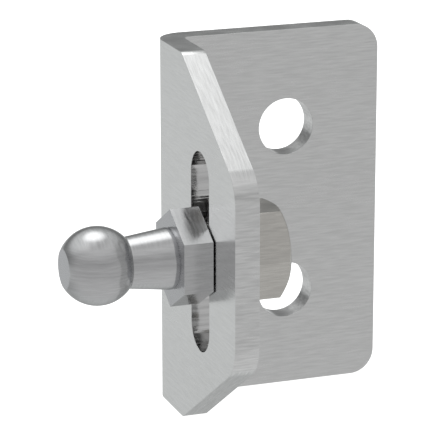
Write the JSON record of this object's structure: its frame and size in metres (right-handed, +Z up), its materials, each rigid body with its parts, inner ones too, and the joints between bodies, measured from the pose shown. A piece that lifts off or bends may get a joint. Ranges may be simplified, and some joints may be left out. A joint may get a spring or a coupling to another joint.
{
  "type": "gas spring ball stud bracket",
  "caption": "Steel angle bracket with a screw-on plate and a slotted flange that carries a sliding ball stud, held by a lock washer and hex nut.",
  "frame": {"origin": "on the back face of the mounting plate, midway between its two screw holes", "axes": "+Y out of the back face towards the wall or panel, +Z up along the line of the screw holes, the ball stud points along -X"},
  "size_m": [0.0484, 0.0314, 0.0488],
  "materials": {
    "bracket_steel": "brushed, grain along the sheet",
    "stud_steel": "turned, bright",
    "washer_steel": "dull",
    "nut_steel": "satin"
  },
  "bodies": {
    "bracket": {"bracket": "bracket_steel"},
    "stud": {"ball_stud": "stud_steel"},
    "washer": {"lock_washer": "washer_steel"},
    "nut": {"hex_nut": "nut_steel"}
  },
  "joints": [
    {"name": "stud_slide", "type": "slide", "parent": "bracket", "child": "stud", "axis": [0, 0, 1], "range_m": [-0.00936, 0.01004]},
    {"name": "nut_travel", "type": "slide", "parent": "stud", "child": "washer", "axis": [1, 0, 0], "range_m": [0, 0.00508]},
    {"name": "nut_turn", "type": "hinge", "parent": "washer", "child": "nut", "pos_m": [-0.0101, -0.0185, -0.00034], "axis": [1, 0, 0], "range_deg": [0, 1441]}
  ],
  "couplings": [
    {"joint": "nut_turn", "follows": "nut_travel", "rad_per_m": 4947.4}
  ]
}
